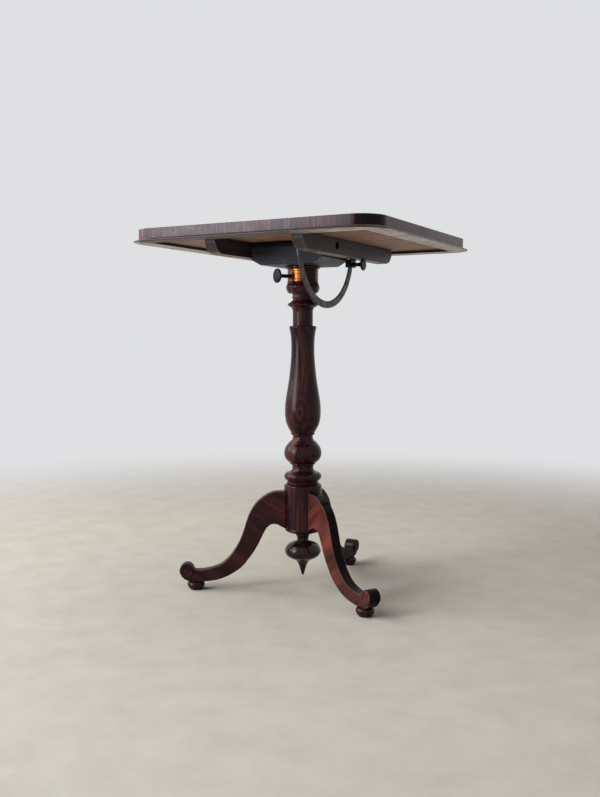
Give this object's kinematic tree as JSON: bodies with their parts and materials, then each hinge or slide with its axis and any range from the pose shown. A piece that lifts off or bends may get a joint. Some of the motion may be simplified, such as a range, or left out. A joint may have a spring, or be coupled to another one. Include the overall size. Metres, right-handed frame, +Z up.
{
  "type": "reading stand",
  "caption": "Reading stand with a tilting rectangular top on bearers and an iron arc, a height-adjustable turned column and scroll legs on turned pads.",
  "frame": {"origin": "on the floor, under the middle of the top; the column's axis stands 21.8 mm towards -Y from it", "axes": "+Z up; -Y is the reader's side, where the top dips as it tilts; +X to the reader's right, the side of the iron arc and its clamp"},
  "size_m": [0.5426, 0.5274, 0.7328],
  "materials": {
    "rosewood": "polished rosewood, dark streaks, red-brown",
    "dark_rosewood": "polished, nearly black rosewood",
    "veneer": "polished rosewood veneer",
    "crossbanding": "crossbanded rosewood veneer, fine vertical grain",
    "lip": "polished red-brown moulding",
    "bare_wood": "bare, aged, unpolished",
    "bearer_wood": "dark stained, matt",
    "ebonised_wood": "ebonised, rough",
    "brass": "aged, warm brass",
    "iron": "black, slightly worn iron"
  },
  "bodies": {
    "base": {"column": "rosewood", "collar": "brass", "base_cap": "dark_rosewood", "finial": "rosewood", "foot_back": "dark_rosewood", "foot_left": "dark_rosewood", "foot_right": "dark_rosewood", "leg_back": "rosewood", "leg_left": "rosewood", "leg_right": "rosewood"},
    "collar_screw": {"collar_thumbscrew": "iron"},
    "pole": {"pole": "dark_rosewood"},
    "head": {"clamp_bracket": "iron", "clamp_bracket_screw_1": "iron", "clamp_bracket_screw_2": "iron", "flange_screw_1": "iron", "flange_screw_2": "iron", "flange_screw_3": "iron", "flange_screw_4": "iron", "head_flange": "dark_rosewood", "pivot_block": "ebonised_wood", "pivot_screw_left": "iron", "pivot_screw_right": "iron"},
    "clamp_screw": {"clamp_thumbscrew": "iron"},
    "top": {"arc_screw_1": "iron", "arc_screw_2": "iron", "bearer_left": "bearer_wood", "bearer_right": "bearer_wood", "bearer_screw_1": "iron", "bearer_screw_2": "iron", "bearer_screw_3": "iron", "bearer_screw_4": "iron", "bearer_screw_5": "iron", "bearer_screw_6": "iron", "frieze_back": "crossbanding", "frieze_corner_back": "crossbanding", "frieze_corner_front": "crossbanding", "frieze_corner_left": "crossbanding", "frieze_corner_right": "crossbanding", "frieze_front": "crossbanding", "frieze_left": "crossbanding", "frieze_right": "crossbanding", "lip_back": "lip", "lip_corner_back": "lip", "lip_corner_front": "lip", "lip_corner_left": "lip", "lip_corner_right": "lip", "lip_front": "lip", "lip_left": "lip", "lip_right": "lip", "rim_back": "bare_wood", "rim_front": "bare_wood", "rim_left": "bare_wood", "rim_right": "bare_wood", "tilt_arc": "iron", "top_board": "veneer"}
  },
  "joints": [
    {"name": "collar_screw_turn", "type": "hinge", "parent": "base", "child": "collar_screw", "pos_m": [0, -0.0218, 0.6464], "axis": [-0.4848, -0.8746, 0], "range_deg": [0, 720]},
    {"name": "height", "type": "slide", "parent": "base", "child": "pole", "axis": [0, 0, 1], "range_m": [0, 0.28]},
    {"name": "swivel", "type": "hinge", "parent": "pole", "child": "head", "pos_m": [0, -0.0218, 0.6619], "axis": [0, 0, 1], "continuous": true},
    {"name": "clamp_screw_turn", "type": "hinge", "parent": "head", "child": "clamp_screw", "pos_m": [0, 0.02974, 0.67106], "axis": [1, 0, 0], "range_deg": [0, 720]},
    {"name": "tilt", "type": "hinge", "parent": "head", "child": "top", "pos_m": [0, -0.0798, 0.6998], "axis": [1, 0, 0], "range_deg": [0, 90]}
  ]
}
